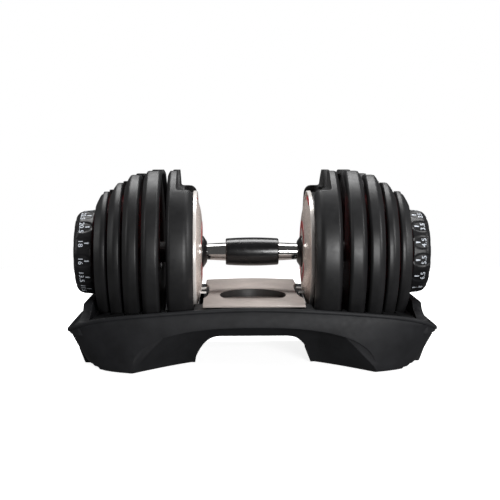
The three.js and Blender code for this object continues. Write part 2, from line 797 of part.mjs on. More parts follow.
// A foot that stands a little proud of the form below each tip.
function endFoot() {
  const base = trayHalfLength - BASE_INSET;
  const section = [
    [base - 30, TRAY_BOTTOM],
    [base + 5, TRAY_BOTTOM],
    [base + 12, END_FOOT_HEIGHT],
    [base + 10, END_FOOT_HEIGHT + 8],
    [base - 30, END_FOOT_HEIGHT + 8],
  ];
  return extrudedInY(section, -END_FOOT_HALF_WIDTH, END_FOOT_HALF_WIDTH);
}

const panelHalfWidth = bridgeHalfWidth - 1.5;
const panelHalfDepth = trayHalfDepth - PANEL_SETBACK;

const dishY = 0.02 * trayHalfDepth - DISH_RADIUS;

// A round space with its floor sloping up to nothing at the front.
function dishSpace(grow, depth) {
  const radius = DISH_RADIUS + grow;
  const drum = turnedUpright(
    [[0, panelTop - 30], [radius, panelTop - 30], [radius, panelTop + 3], [0, panelTop + 3]],
    0,
    dishY,
    32,
  );
  const wedge = [
    [dishY - radius, panelTop - grow],
    [dishY + radius, panelTop - depth - grow],
    [dishY + radius, panelTop + 4],
    [dishY - radius, panelTop + 4],
  ];
  return drum.intersect(extrudedInX(wedge, -radius, radius));
}

function trayShell() {
  const ends = join(endWall(), endFoot());
  const outer = join(trayForm(0, TRAY_BOTTOM), ends, turnedRound(ends));
  const wells = bothEnds(atAxle(well()));
  const seat = box(
    [-panelHalfWidth - GAP, -panelHalfDepth - GAP, panelTop - PANEL_THICKNESS - GAP],
    [panelHalfWidth + GAP, panelHalfDepth + GAP, rimZ + 5],
  );
  const cupSpace = dishSpace(CUP_WALL + GAP, DISH_BACK_WALL);
  const half = PRONG_SPACING / 2 + PRONG_WIDTH;
  const lip = box([-bridgeHalfWidth - 1, -half, prongZ + 2 - GAP], [bridgeHalfWidth + 1, half, rimZ + 5]);
  const arch = extrudedInY(archOutline(), -500, 500);
  const apron = apronHollow();
  const shell = cut(outer, wells, seat, lip, cupSpace, arch, apron, turnedRound(apron));

  const bosses = footPlaces.map(([x, y]) => {
    const from = FOOT_THICKNESS + GAP;
    return turnedUpright([[0, from], [FOOT_RADIUS, from], [FOOT_RADIUS, rimZ], [0, rimZ]], x, y, 24);
  });
  const underside = cut(
    trayForm(TRAY_WALL, TRAY_BOTTOM - 5),
    bothEnds(atAxle(wellWithWalls())),
    extrudedInY(archOutline(TRAY_WALL), -500, 500),
    apronHollow(TRAY_WALL),
    turnedRound(apronHollow(TRAY_WALL)),
    box([-500, -500, panelTop - PANEL_THICKNESS - 2 * TRAY_WALL], [500, 500, 500]),
    ...bosses,
  );
  const holes = footPlaces.map(([x, y]) => {
    const radius = SCREW_RADIUS + GAP;
    const top = SCREW_LENGTH + 2;
    return turnedUpright([[0, 0], [radius, 0], [radius, top], [0, top]], x, y, 10);
  });
  return cut(shell, underside, ...holes);
}

// The panel's top is arched from side to side, and its sides curve in beside the domes.
function bridgePanel() {
  const steps = 8;
  const top = Array.from({ length: steps + 1 }, (_, i) => {
    const share = (2 * i) / steps - 1;
    return [share * panelHalfWidth, panelTop + PANEL_ARCH * (1 - share * share)];
  });
  const low = panelTop - PANEL_THICKNESS;
  const section = [[-panelHalfWidth, low], ...top, [panelHalfWidth, low]];
  const waist = Array.from({ length: steps + 1 }, (_, i) => {
    const share = (2 * i) / steps - 1;
    const y = share * PANEL_WAIST_HALF_LENGTH;
    return [panelHalfWidth - PANEL_WAIST * (1 - share ** 4), y];
  });
  const end = [panelHalfWidth, panelHalfDepth];
  const side = [[end[0], -end[1]], ...waist, end];
  const plan = [...side, ...side.map(([x, y]) => [-x, y]).reverse()];
  const slab = extrudedInY(section, -panelHalfDepth, panelHalfDepth);
  const below = box([-DISH_RADIUS * 2, -500, 0], [DISH_RADIUS * 2, 500, panelTop - 1]);
  const cup = dishSpace(CUP_WALL, DISH_BACK_WALL).intersect(below);
  const panel = slab.intersect(extrudedInZ(plan, low - 1, panelTop + 5));
  return cut(join(panel, cup), dishSpace(0, DISH_BACK_WALL));
}

// Two prongs on a bar that stands beside the panel's waist. They reach under the lock yoke's feet.
function unlockFork() {
  const back = panelHalfWidth - PANEL_WAIST + 2 * GAP;
  const half = PRONG_SPACING / 2 + PRONG_WIDTH / 2;
  const low = panelTop - PANEL_THICKNESS;
  const tip = lockFace + LOCK_THICKNESS;
  const bar = box([back, -half, low], [back + FORK_BAR, half, prongZ + PRONG_THICKNESS]);
  const prongs = [-1, 1].map((side) => {
    const y = (side * PRONG_SPACING) / 2;
    return box(
      [back, y - PRONG_WIDTH / 2, prongZ + 2],
      [tip, y + PRONG_WIDTH / 2, prongZ + PRONG_THICKNESS],
    );
  });
  return join(bar, ...prongs);
}

function foot(x, y) {
  const profile = [
    [SCREW_HEAD_RADIUS + 1, 0],
    [FOOT_RADIUS - 1, 0],
    [FOOT_RADIUS, 1],
    [FOOT_RADIUS, FOOT_THICKNESS],
    [SCREW_RADIUS + GAP, FOOT_THICKNESS],
    [SCREW_RADIUS + GAP, FOOT_THICKNESS - 0.8],
    [SCREW_HEAD_RADIUS + 1, FOOT_THICKNESS - 0.8],
  ];
  return turnedUpright(profile, x, y, 16);
}

function footScrew(x, y) {
  const headTop = FOOT_THICKNESS - 0.8 - GAP;
  const profile = [
    [0, 0.5],
    [SCREW_HEAD_RADIUS, 0.5],
    [SCREW_HEAD_RADIUS, headTop],
    [SCREW_RADIUS, headTop],
    [SCREW_RADIUS, SCREW_LENGTH],
    [0, SCREW_LENGTH],
  ];
  return turnedUpright(profile, x, y, 10);
}

// ---------------------------------------------------------------------------------------------
// The assembly

const finish = {
  blackPlastic: { color: 0x1b1b1d, roughness: 0.55, metalness: 0 },
  plateBlack: { color: 0x1d1d1f, roughness: 0.5, metalness: 0 },
  rubber: { color: 0x141414, roughness: 0.6, metalness: 0 },
  chrome: { color: 0xd8d8d8, roughness: 0.12, metalness: 1 },
  silver: { color: 0xb9b4b0, roughness: 0.3, metalness: 0.8 },
  steel: { color: 0x8c8c8c, roughness: 0.4, metalness: 1 },
  red: { color: 0xb3161c, roughness: 0.45, metalness: 0 },
  warmGrey: { color: 0x9a918b, roughness: 0.5, metalness: 0.1 },
  white: { color: 0xd9d6d2, roughness: 0.4, metalness: 0 },
};

function node(name, body, look) {
  const made = new THREE.Mesh(geometryOf(body), new THREE.MeshStandardMaterial(finish[look]));
  made.name = name;
  return made;
}

const root = new THREE.Group();

const handle = new THREE.Group();
handle.position.z = AXLE_Z;
handle.add(
  node("grip_sleeve", gripSleeve(), "rubber"),
  node("handle_tube", handleTube(), "chrome"),
  node("axle_rod", axleRod(), "steel"),
);
root.add(handle);

const endParts = [
  ["collar", collar(), "blackPlastic"],
  ["dome_cover", domeCover(), "silver"],
  ["bezel_ring", bezel(), "chrome"],
  ["back_plate", backPlate(), "blackPlastic"],
  ["lock_wheel", lockWheel(), "steel"],
  ["lock_yoke", lockYoke(), "steel"],
  ["lock_spring", lockSpring(), "steel"],
  ["selector_shaft", selectorShaft(), "blackPlastic"],
  ...PLATES.map((plate) => [`selector_disc_${plate.number}`, selectorDisc(plate), "red"]),
  ...PLATES.map((plate) => [
    `weight_plate_${plate.number}`,
    plate === largest ? largestPlate() : weightPlate(plate),
    "plateBlack",
  ]),
  ["weight_dial", dial(), "blackPlastic"],
  ["dial_cap", dialCap(), "blackPlastic"],
  ["rod_nut", rodNut(), "steel"],
];

for (const side of ["right", "left"]) {
  const end = new THREE.Group();
  end.position.z = AXLE_Z;
  end.rotation.z = side === "left" ? Math.PI : 0;
  for (const [name, body, look] of endParts) end.add(node(`${name}_${side}`, body, look));
  root.add(end);

  const fork = node(`unlock_fork_${side}`, unlockFork(), "white");
  fork.rotation.z = end.rotation.z;
  root.add(fork);
}

root.add(
  node("tray_shell", trayShell(), "blackPlastic"),
  node("bridge_panel", bridgePanel(), "warmGrey"),
);
footPlaces.forEach(([x, y], i) => {
  root.add(
    node(`tray_foot_${i + 1}`, foot(x, y), "rubber"),
    node(`foot_screw_${i + 1}`, footScrew(x, y), "steel"),
  );
});

export default root;
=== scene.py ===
import math

import bmesh
import bpy
from mathutils import Matrix, Vector


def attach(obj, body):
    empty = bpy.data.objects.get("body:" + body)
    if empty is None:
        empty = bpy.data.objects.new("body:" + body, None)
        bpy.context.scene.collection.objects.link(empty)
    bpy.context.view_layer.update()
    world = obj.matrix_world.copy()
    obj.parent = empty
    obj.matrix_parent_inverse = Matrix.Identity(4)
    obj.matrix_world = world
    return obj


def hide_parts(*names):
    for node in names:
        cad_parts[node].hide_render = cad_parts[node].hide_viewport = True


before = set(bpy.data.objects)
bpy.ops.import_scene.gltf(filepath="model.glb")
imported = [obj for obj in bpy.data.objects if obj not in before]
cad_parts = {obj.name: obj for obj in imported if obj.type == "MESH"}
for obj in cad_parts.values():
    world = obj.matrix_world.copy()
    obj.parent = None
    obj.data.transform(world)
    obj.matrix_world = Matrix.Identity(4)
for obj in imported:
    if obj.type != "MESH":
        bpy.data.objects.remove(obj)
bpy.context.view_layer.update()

# ------------------------------------------------------------------------------------------------
# Sizes in millimetres, the same as the CAD's. +X runs along the handle, -Y is the front.
AXLE_Z = 125.0
GAP = 0.3  # between pieces that touch
NEAR_AXIS = 0.02  # inner radius of the outline of a disc with no hole

# Handle
GRIP_HALF, GRIP_END_R, GRIP_MID_R = 31.0, 15.5, 16.7
TUBE_END_R, TUBE_MID_R, ROD_BORE = 9.4, 10.6, 5.4
COLLAR_START, COLLAR_SMALL_R, COLLAR_BIG_R = 53.0, 12.0, 18.6
DOME_FACE, DOME_BACK, DOME_R = 58.6, 68.4, 68.8
DOME_WALL, CAVITY_R = 1.6, 48.0
BEZEL_R = 71.8
BACK_R, BACK_THICKNESS, BACK_BORE = 70.0, 5.0, 12.4

# Dial
DIAL_START, DIAL_END, DIAL_R, RECESS_R = 182.1, 202.9, 49.5, 38.2
DIAL_WALL = 3.0
CAP_INSET, CAP_THICKNESS = 3.5, 3.0
FINGER_BAR_HALF_WIDTH, FINGER_BAR_HALF_LENGTH = 6.5, 36.8
NUMBER_SIZE = 7.5
PRINT_CENTRE = 11.2  # of the numbers and ticks, from the dial's inner edge
PRINT_RAISE = 0.05  # half the thickness of a print

# Weight plates, numbered from the outside in. r is the radius, x the inner and outer face, top
# the part that goes up past the discs, web the thickness of the middle, rim the width of the rim,
# and out and inn are the outer and inner bevel as (width, drop in radius).
SLOT_HALF = 20.5
FLANGE_OUT, FLANGE_CLEARANCE = 34.0, 1.2
FLAT_TOP = 0.91  # height of a plate's flat top over its radius
TOP_SLOPE = 2.2  # fall over width of the slopes beside the flat tops
TAB_HALF_WIDTH, TAB_LOW, TAB_HIGH = 7.0, 29.0, 21.5  # low and high are below the axle
STEP_BELOW_TOP, STEP_HORN_WIDTH = 20.0, 10.0  # on the largest plate
PLATES = {
    5: dict(r=105, x=(66.4, 95.6), top=(66.4, 93.0), web=13, rim=12, out=(3.5, 5), inn=(7, 7)),
    4: dict(r=105, x=(103.1, 122.1), top=(105.5, 117.9), web=11, rim=12, out=(4.5, 6), inn=(2.4, 3)),
    3: dict(r=100, x=(125.6, 143.1), top=(127.4, 136.8), web=8.5, rim=11, out=(6, 7), inn=(2, 3)),
    2: dict(r=90, x=(146.1, 160.1), top=(146.1, 152.3), web=5.6, rim=10, out=(7, 6), inn=(1.5, 2)),
    1: dict(r=79, x=(162.6, 176.1), top=(163.4, 168.8), web=5.4, rim=9, out=(8, 5), inn=(1.5, 2)),
}

SETTINGS = ["2.5", "3.5", "4.5", "5.5", "6.5", "8", "9", "10", "11.5", "13.5", "16", "18",
            "20.5", "22.5", "24"]
SETTING_DEGREES = 360 / len(SETTINGS)

# Tray
RIM_Z, TIP_Z = 74.5, 44.5
RIM_SLOPE_POWER, RIM_END_POWER = 1.6, 10
RIM_SQUARENESS, BASE_SQUARENESS, ARCH_SQUARENESS = 5, 3.8, 2.6  # powers of the outlines
TRAY_HALF_X, TRAY_HALF_Y = 211.5, 100.74
TRAY_BOTTOM, TRAY_WALL = 1.5, 3.0
BASE_INSET, BASE_FLARE = 24.0, 3.7
WELL_SIDE, WELL_CLEARANCE = 0.6, 1.2  # beside and round each plate
WELL_START = DOME_FACE - WELL_CLEARANCE
RIB_HEIGHT = 10.0
APRON_HALF_WIDTH, APRON_HEIGHT, APRON_LEAN, APRON_STEP = 134.0, 53.0, 0.9, 3.5
END_WALL_HALF_WIDTH, END_FOOT_HALF_WIDTH = 80.0, 38.0
FOOT_R, SCREW_HOLE_R = 10.0, 2.3
PANEL_TOP, PANEL_THICKNESS, PANEL_ARCH = 78.5, 4.0, 1.6
PANEL_X, PANEL_Y = 55.9, TRAY_HALF_Y - 5
PANEL_WAIST, PANEL_WAIST_HALF_LENGTH = 5.0, 56.0
PANEL_FALL = 4.2  # of its top, from the middle to the front edge
DISH_R, DISH_DEPTH, CUP_WALL = 38.0, 7.5, 2.4
DISH_Y = 0.02 * TRAY_HALF_Y - DISH_R
FORK_START, FORK_BAR_END, PRONG_END = 51.5, 53.9, 63.6
PRONG_Y, PRONG_HALF_WIDTH, PRONG_LOW, PRONG_HIGH = 15.0, 3.0, 78.0, 80.0
FAR = 500.0  # past the object on every side

SIDES = {"right": 1, "left": -1}


# ------------------------------------------------------------------------------------------------
# Materials

def new_material(name, color, roughness, metallic=0.0, specular=0.5):
    mat = bpy.data.materials.new(name)
    mat.use_nodes = True
    bsdf = mat.node_tree.nodes["Principled BSDF"]
    bsdf.inputs["Base Color"].default_value = (*color, 1)
    bsdf.inputs["Roughness"].default_value = roughness
    bsdf.inputs["Metallic"].default_value = metallic
    bsdf.inputs["Specular IOR Level"].default_value = specular
    return mat, mat.node_tree, bsdf


def coords(tree, scale):
    where = tree.nodes.new("ShaderNodeTexCoord")
    mapping = tree.nodes.new("ShaderNodeMapping")
    mapping.inputs["Scale"].default_value = scale
    tree.links.new(where.outputs["Object"], mapping.inputs["Vector"])
    return mapping.outputs["Vector"]


def noise(tree, scale, detail, rough=0.5, stretch=(1, 1, 1)):
    node = tree.nodes.new("ShaderNodeTexNoise")
    node.inputs["Scale"].default_value = scale
    node.inputs["Detail"].default_value = detail
    node.inputs["Roughness"].default_value = rough
    tree.links.new(coords(tree, stretch), node.inputs["Vector"])
    return node.outputs["Fac"]


def ramp(tree, source, stops):
    """A colour from a grey value; stops are (position, colour)."""
    node = tree.nodes.new("ShaderNodeValToRGB")
    while len(node.color_ramp.elements) < len(stops):
        node.color_ramp.elements.new(0.5)
    for element, (at, color) in zip(node.color_ramp.elements, stops):
        element.position = at
        element.color = (*color, 1)
    tree.links.new(source, node.inputs["Fac"])
    return node.outputs["Color"]


def spread(tree, source, low, high):
    """A noise value's middle range, stretched from low to high."""
    node = tree.nodes.new("ShaderNodeMapRange")
    node.inputs["To Min"].default_value = low
    node.inputs["To Max"].default_value = high
    node.inputs["From Min"].default_value = 0.3
    node.inputs["From Max"].default_value = 0.7
    tree.links.new(source, node.inputs["Value"])
    return node.outputs["Result"]


def bump(tree, bsdf, layers):
    """layers: (height output, strength, distance in metres), from the coarsest to the finest."""
    last = None
    for height, strength, distance in layers:
        node = tree.nodes.new("ShaderNodeBump")
        node.inputs["Strength"].default_value = strength
        node.inputs["Distance"].default_value = distance
        tree.links.new(height, node.inputs["Height"])
        if last is not None:
            tree.links.new(last, node.inputs["Normal"])
        last = node.outputs["Normal"]
    tree.links.new(last, bsdf.inputs["Normal"])


def moulded(name, color, roughness, grain, depth, specular, spread_by, tint=0.25):
    """Moulded or powder-coated surface: fine grain, soft clouding in colour and gloss."""
    mat, tree, bsdf = new_material(name, color, roughness, specular=specular)
    cloud = noise(tree, 38, 4, 0.55)
    dark = tuple(c * (1 - tint) for c in color)
    light = tuple(min(1, c * (1 + tint)) for c in color)
    tree.links.new(ramp(tree, cloud, [(0.3, dark), (0.7, light)]), bsdf.inputs["Base Color"])
    tree.links.new(spread(tree, noise(tree, 160, 5, 0.6), roughness - spread_by,
                          roughness + spread_by), bsdf.inputs["Roughness"])
    fine = noise(tree, grain, 2, 0.5)
    wave = noise(tree, 90, 2, 0.5)
    bump(tree, bsdf, [(wave, 0.12, 0.0004), (fine, 0.35, depth)])
    return mat


def metal(name, color, roughness, stretch, scale, depth, spread_by, metallic=1.0):
    """Metal with faint marks; stretch draws the marks out into brushing."""
    mat, tree, bsdf = new_material(name, color, roughness, metallic=metallic)
    marks = noise(tree, scale, 4, 0.6, stretch)
    dark = tuple(c * 0.9 for c in color)
    tree.links.new(ramp(tree, noise(tree, 60, 3), [(0.3, dark), (0.7, color)]),
                   bsdf.inputs["Base Color"])
    tree.links.new(spread(tree, marks, max(0.02, roughness - spread_by), roughness + spread_by),
                   bsdf.inputs["Roughness"])
    bump(tree, bsdf, [(noise(tree, 45, 2), 0.05, 0.0006), (marks, 0.25, depth)])
    return mat


MAT = {
    "plate": moulded("plate_coat", (0.0135, 0.0135, 0.0142), 0.4, 2600, 0.00005, 0.34, 0.05),
    "tray": moulded("tray_plastic", (0.0145, 0.0148, 0.0165), 0.54, 1800, 0.00009, 0.2, 0.05),
    "black": moulded("black_plastic", (0.006, 0.006, 0.0065), 0.34, 3000, 0.00003, 0.4, 0.05),
    "dial": moulded("dial_plastic", (0.008, 0.008, 0.0092), 0.4, 2400, 0.00004, 0.36, 0.05),
    "grip": moulded("grip_rubber", (0.006, 0.006, 0.0065), 0.24, 2600, 0.00003, 0.5, 0.04),
    "red": moulded("red_plastic", (0.42, 0.012, 0.014), 0.38, 2400, 0.00003, 0.5, 0.05),
    "panel": moulded("warm_grey", (0.37, 0.325, 0.3), 0.42, 3200, 0.00008, 0.5, 0.08, 0.12),
    "fork": moulded("light_plastic", (0.86, 0.84, 0.81), 0.35, 2400, 0.00003, 0.5, 0.05, 0.06),
    # dish: painted shade, a dark material put on the dish's upright wall where shadow falls
    "dish": moulded("dish_wall_painted_shade", (0.03, 0.028, 0.027), 0.5, 2400, 0.00005, 0.3, 0.05),
    "foot": moulded("foot_rubber", (0.012, 0.012, 0.012), 0.7, 1500, 0.0001, 0.3, 0.05),
    "white": moulded("white_print", (0.74, 0.79, 0.86), 0.5, 3000, 0.00002, 0.4, 0.05, 0.05),
    "chrome": metal("chrome", (0.62, 0.61, 0.6), 0.08, (1, 1, 1), 700, 0.000008, 0.03),
    "bezel": metal("bezel_chrome", (0.95, 0.9, 0.86), 0.24, (1, 1, 1), 700, 0.000008, 0.04, 0.3),
    "silver": metal("silver_cover", (0.94, 0.82, 0.75), 0.26, (30, 1, 1), 500, 0.00001, 0.06, 0.42),
    "steel": metal("plain_steel", (0.45, 0.45, 0.45), 0.38, (1, 1, 1), 900, 0.00004, 0.08),
}


# ------------------------------------------------------------------------------------------------
# Meshes. Everything is built at the right-hand end, in millimetres, and turned half a turn for
# the left.

def mesh_from(bm, name):
    bmesh.ops.recalc_face_normals(bm, faces=bm.faces)
    mesh = bpy.data.meshes.new(name)
    bm.to_mesh(mesh)
    bm.free()
    return mesh


def fillet(points, steps=4):
    """Rounds the corners of a closed outline of (a, b, radius) points."""
    out = []
    count = len(points)
    for i, (a, b, radius) in enumerate(points):
        here = Vector((a, b))
        if radius <= 0:
            out.append((a, b))
            continue
        before = Vector(points[i - 1][:2]) - here
        after = Vector(points[(i + 1) % count][:2]) - here
        reach = min(radius, 0.48 * before.length, 0.48 * after.length)
        start, end = here + before.normalized() * reach, here + after.normalized() * reach
        for k in range(steps + 1):
            t = k / steps
            p = start * (1 - t) ** 2 + here * 2 * t * (1 - t) + end * t * t
            out.append((p.x, p.y))
    return out


def lathe(profile, segments):
    """A closed outline of (radius, x) points turned about the handle's axis."""
    bm = bmesh.new()
    rings = []
    for k in range(segments):
        angle = 2 * math.pi * k / segments
        c, s = math.cos(angle), math.sin(angle)
        rings.append([bm.verts.new((x, r * c, AXLE_Z + r * s)) for r, x in profile])
    count = len(profile)
    for k in range(segments):
        here, there = rings[k], rings[(k + 1) % segments]
        for i in range(count):
            j = (i + 1) % count
            bm.faces.new((here[i], here[j], there[j], there[i]))
    bmesh.ops.remove_doubles(bm, verts=bm.verts, dist=1e-4)
    return mesh_from(bm, "lathe")


def prism(points, axis, low, high):
    """An outline extruded along an axis. Points are (x, z) for y, (y, z) for x and (x, y) for z."""
    place = {
        "x": lambda a, b, d: (d, a, b),
        "y": lambda a, b, d: (a, d, b),
        "z": lambda a, b, d: (a, b, d),
    }[axis]
    bm = bmesh.new()
    ends = [[bm.verts.new(place(p[0], p[1], d)) for p in points] for d in (low, high)]
    bm.faces.new(ends[0])
    bm.faces.new(ends[1][::-1])
    count = len(points)
    for i in range(count):
        j = (i + 1) % count
        bm.faces.new((ends[0][i], ends[0][j], ends[1][j], ends[1][i]))
    return mesh_from(bm, "prism")


def box(low, high):
    """A box between its lowest and highest corner."""
    return prism([(low[0], low[1]), (high[0], low[1]), (high[0], high[1]), (low[0], high[1])],
                 "z", low[2], high[2])


def applied(holder):
    """The mesh that an object outside the scene gives with its modifiers or its text applied."""
    bpy.context.scene.collection.objects.link(holder)
    bpy.context.view_layer.update()
    graph = bpy.context.evaluated_depsgraph_get()
    mesh = bpy.data.meshes.new_from_object(holder.evaluated_get(graph))
    bpy.data.objects.remove(holder)
    return mesh


def combined(mesh, others, operation):
    """mesh with the others cut from it, added to it or crossed with it."""
    target = bpy.data.objects.new("target", mesh)
    cutters = []
    for other in others:
        cutter = bpy.data.objects.new("cutter", other)
        bpy.context.scene.collection.objects.link(cutter)
        cutters.append(cutter)
        modifier = target.modifiers.new("cut", "BOOLEAN")
        modifier.operation = operation
        modifier.solver = "MANIFOLD"
        modifier.object = cutter
    out = applied(target)
    for cutter in cutters:
        bpy.data.objects.remove(cutter)
    return out


def cut(mesh, *others):
    return combined(mesh, others, "DIFFERENCE")


def join(mesh, *others):
    return combined(mesh, others, "UNION")


def cross(mesh, other):
    return combined(mesh, [other], "INTERSECT")


def turned_round(mesh):
    """The left-hand copy of a right-hand mesh."""
    copy = mesh.copy()
    copy.transform(Matrix.Rotation(math.pi, 4, "Z"))
    return copy


def finished(mesh, bevel, segments, angle=32):
    """The mesh, cleaned, with its sharp edges rounded."""
    bm = bmesh.new()
    bm.from_mesh(mesh)
    bmesh.ops.remove_doubles(bm, verts=bm.verts, dist=0.01)
    bmesh.ops.dissolve_degenerate(bm, edges=bm.edges, dist=0.01)
    bm.to_mesh(mesh)
    bm.free()
    holder = bpy.data.objects.new("holder", mesh)
    modifier = holder.modifiers.new("bevel", "BEVEL")
    modifier.width = bevel
    modifier.segments = segments
    modifier.limit_method = "ANGLE"
    modifier.angle_limit = math.radians(angle)
    modifier.use_clamp_overlap = True
    return applied(holder)


def piece(name, mesh, material, body, replaces=(), smooth=34):
    """Puts a mesh in millimetres into the scene as a finished piece of the object."""
    mesh = mesh.copy()
    mesh.transform(Matrix.Scale(0.001, 4))
    mesh.name = name
    mesh.materials.clear()
    mesh.materials.append(MAT[material])
    mesh.shade_smooth()
    mesh.set_sharp_from_angle(angle=math.radians(smooth))
    obj = bpy.data.objects.new(name, mesh)
    bpy.context.scene.collection.objects.link(obj)
    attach(obj, body)
    if replaces:
        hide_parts(*replaces)
    return obj


def both_ends(name, mesh, material, body, node=None, smooth=34):
    """A piece at each end. body and node have {} where the side's name goes."""
    made = []
    for side, sign in SIDES.items():
        placed = mesh if sign > 0 else turned_round(mesh)
        stands_for = [node.format(side)] if node else []
        made.append(piece(f"{name}_{side}_fine", placed, material, body.format(side), stands_for,
                          smooth))
    return made


# ------------------------------------------------------------------------------------------------
# Weight plates

def weight_plate(number):
    """A plate: a disc with a rim, open at the top by its slot, with bevels and flat-topped horns."""
    p = PLATES[number]
    radius, (inside, outside), (top0, top1) = p["r"], p["x"], p["top"]
    bore = radius - p["rim"]
    flat = FLAT_TOP * radius
    web_out, web_in = top1, top1 - p["web"]
    (out_w, out_d), (in_w, in_d) = p["out"], p["inn"]
    rim_edge = max(radius - out_d, bore + 0.5)
    profile = [
        (NEAR_AXIS, web_in, 0), (bore, web_in, 2.0), (bore, inside, 0.8),
        (radius - in_d, inside, in_w * 0.55), (radius, inside + in_w, in_w * 0.6),
        (radius, outside - out_w, out_w * 0.5), (rim_edge, outside, 0.9), (bore, outside, 0.7),
        (bore, web_out, 2.0), (NEAR_AXIS, web_out, 0),
    ]
    body = lathe(fillet(profile, 5), 160)
    far = 2 * radius
    z = AXLE_Z
    way = FLANGE_OUT + FLANGE_CLEARANCE
    tab = box((web_out - 1, -TAB_HALF_WIDTH, z - TAB_LOW), (outside, TAB_HALF_WIDTH, z - TAB_HIGH))
    drop = outside - top1
    slope = [(top1, z + flat + 0.1), (top1 + 0.42 * drop, z + flat - 0.62 * drop),
             (top1 + 0.72 * drop, z + flat - 1.35 * drop),
             (outside + 0.1, z + flat - TOP_SLOPE * drop)]
    cutters = [
        box((inside - 1, -far, z + flat), (outside + 1, far, z + far)),
        box((inside - 1, -SLOT_HALF, z), (outside + 1, SLOT_HALF, z + far)),
        lathe([(NEAR_AXIS, inside - 1), (SLOT_HALF, inside - 1), (SLOT_HALF, outside + 1),
               (NEAR_AXIS, outside + 1)], 72),
        box((top1, -way, z), (outside + 1, way, z + far)),
        prism(slope + [(outside + 1, z + flat + 1)], "y", -far, far),
    ]
    if top0 > inside:
        drop = top0 - inside
        slope = [(top0, z + flat + 0.1), (top0 - 0.4 * drop, z + flat - 0.6 * drop),
                 (inside - 0.1, z + flat - TOP_SLOPE * drop)]
        cutters.append(prism(slope + [(inside - 1, z + flat + 1)], "y", -far, far))
    if number == 5:
        step = z + flat - STEP_BELOW_TOP
        edge = outside - STEP_HORN_WIDTH
        outline = [(inside - 1, step - 9, 0), (inside, step - 9, 2), (inside + 1.2, step - 4, 3),
                   (inside + 5, step - 0.6, 4), (inside + 9, step, 3), (edge, step, 3.0),
                   (edge, z + far, 0), (inside - 1, z + far, 0)]
        cutters.append(prism(fillet(outline, 6), "y", -far, far))
    mesh = cut(join(body, tab), *cutters)
    return finished(mesh, 0.9, 3)


for number in PLATES:
    plate = weight_plate(number)
    for side, sign in SIDES.items():
        piece(f"weight_plate_{number}_{side}_fine", plate if sign > 0 else turned_round(plate),
              "plate", f"{side}_plate_{number}", [f"weight_plate_{number}_{side}"])

# ------------------------------------------------------------------------------------------------
# Handle

grip_steps = 12
grip_profile = [(TUBE_MID_R + GAP, -GRIP_HALF, 0)]
for k in range(grip_steps + 1):
    share = 2 * k / grip_steps - 1
    swell = (GRIP_MID_R - GRIP_END_R) * (1 - share * share)
    grip_profile.append((GRIP_END_R + swell, share * GRIP_HALF, 1.6 if abs(share) == 1 else 0))
grip_profile.append((TUBE_MID_R + GAP, GRIP_HALF, 0))
piece("grip_sleeve_fine", lathe(fillet(grip_profile, 5), 128), "grip", "handle", ["grip_sleeve"])

end = DOME_FACE + DOME_WALL
tube_profile = [
    (ROD_BORE, -end, 0), (TUBE_END_R, -end, 0), (TUBE_END_R, -COLLAR_START, 0),
    (TUBE_MID_R, -GRIP_HALF, 0), (TUBE_MID_R, GRIP_HALF, 0), (TUBE_END_R, COLLAR_START, 0),
    (TUBE_END_R, end, 0), (ROD_BORE, end, 0),
]
piece("handle_tube_fine", lathe(fillet(tube_profile), 128), "chrome", "handle", ["handle_tube"])

collar = lathe(fillet([
    (TUBE_END_R + GAP, COLLAR_START, 0), (COLLAR_SMALL_R, COLLAR_START, 0.8),
    (COLLAR_BIG_R, DOME_FACE - 1.3, 0.6), (COLLAR_BIG_R, DOME_FACE - GAP, 0),
    (TUBE_END_R + GAP, DOME_FACE - GAP, 0),
]), 96)
both_ends("collar", collar, "black", "handle", "collar_{}")


def prong_channels(low, high):
    """Upright channels, open at the bottom, that let the fork's prongs in."""
    half, top = PRONG_HALF_WIDTH + 1.5, PRONG_HIGH + 5
    return [box((low, y - half, AXLE_Z - 80), (high, y + half, top)) for y in (-PRONG_Y, PRONG_Y)]


dome = lathe(fillet([
    (TUBE_END_R + GAP, DOME_FACE, 0), (30, DOME_FACE + 0.05, 8), (41, DOME_FACE + 0.45, 5),
    (50, DOME_FACE + 1.7, 6), (59, DOME_FACE + 4.3, 6), (66, DOME_FACE + 7.6, 3),
    (68.2, DOME_FACE + 8.9, 0.8), (DOME_R, DOME_BACK - 0.4, 0), (DOME_R, DOME_BACK, 0),
    (CAVITY_R, DOME_BACK, 0), (CAVITY_R, DOME_FACE + 2.2, 1), (44, DOME_FACE + 1.7, 1),
    (TUBE_END_R + GAP, DOME_FACE + DOME_WALL, 0),
], 6), 200)
dome = finished(cut(dome, *prong_channels(DOME_FACE - 1, DOME_BACK + 1)), 0.25, 2)
both_ends("dome_cover", dome, "silver", "handle", "dome_cover_{}")

bezel = lathe(fillet([
    (DOME_R + 0.4, DOME_BACK - 3.6, 0.3), (DOME_R + 1.5, DOME_BACK - 4.8, 0.8),
    (BEZEL_R - 0.5, DOME_BACK - 4.4, 0.8), (BEZEL_R, DOME_BACK - 2.5, 1.0),
    (BEZEL_R, DOME_BACK - 0.6, 0.5), (BEZEL_R - 0.5, DOME_BACK, 0.3), (DOME_R + GAP, DOME_BACK, 0),
], 4), 200)
opening = PRONG_Y + PRONG_HALF_WIDTH + 1.5
bezel = finished(cut(bezel, box((0, -opening, -50), (DOME_BACK + 1, opening, AXLE_Z))), 0.2, 2)
both_ends("bezel_ring", bezel, "bezel", "handle", "bezel_ring_{}")


